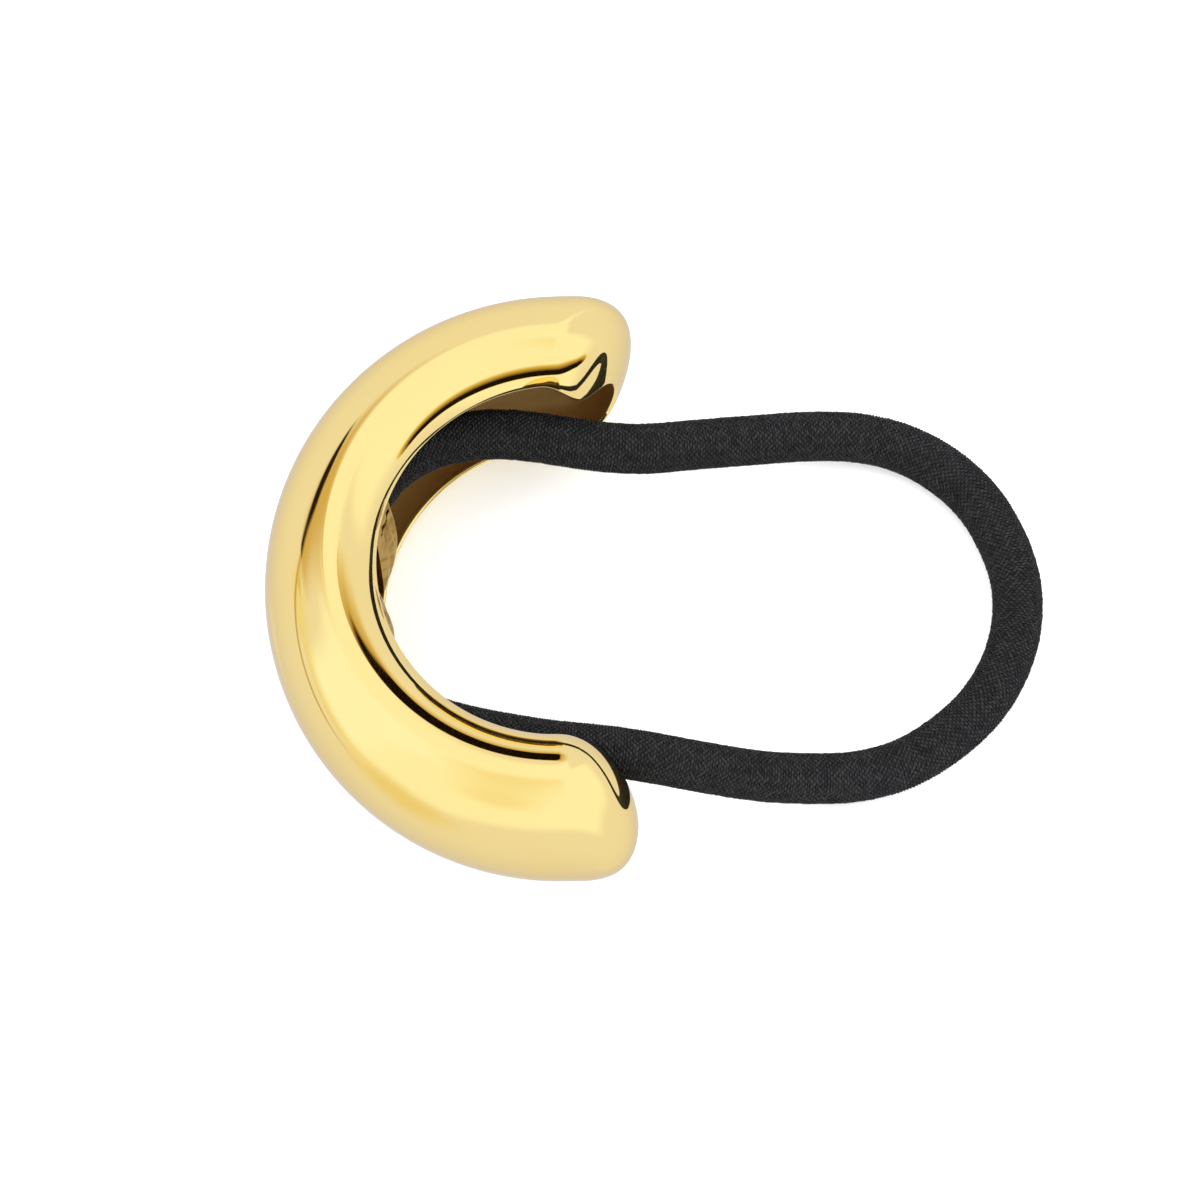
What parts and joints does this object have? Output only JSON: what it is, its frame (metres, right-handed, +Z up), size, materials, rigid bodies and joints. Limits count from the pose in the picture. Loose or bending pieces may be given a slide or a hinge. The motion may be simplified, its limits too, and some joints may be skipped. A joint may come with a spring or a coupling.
{
  "type": "ponytail cuff",
  "caption": "Polished C-shaped ponytail cuff: a puffed hollow metal band, open along its inner side, with a round elastic loop held behind bridges at its back.",
  "frame": {"origin": "middle of the metal cuff's box, on the surface that the cuff lies on", "axes": "+Z up, along the axis of the C; the C opens towards +X, where the elastic runs out; +Y from one end of the C to the other"},
  "size_m": [0.0623, 0.0482, 0.018],
  "materials": {
    "polished_gold": "mirror-polished gold plating",
    "black_elastic": "matte knitted cover"
  },
  "bodies": {
    "root": {"cuff": "polished_gold", "elastic": "black_elastic"}
  },
  "joints": []
}
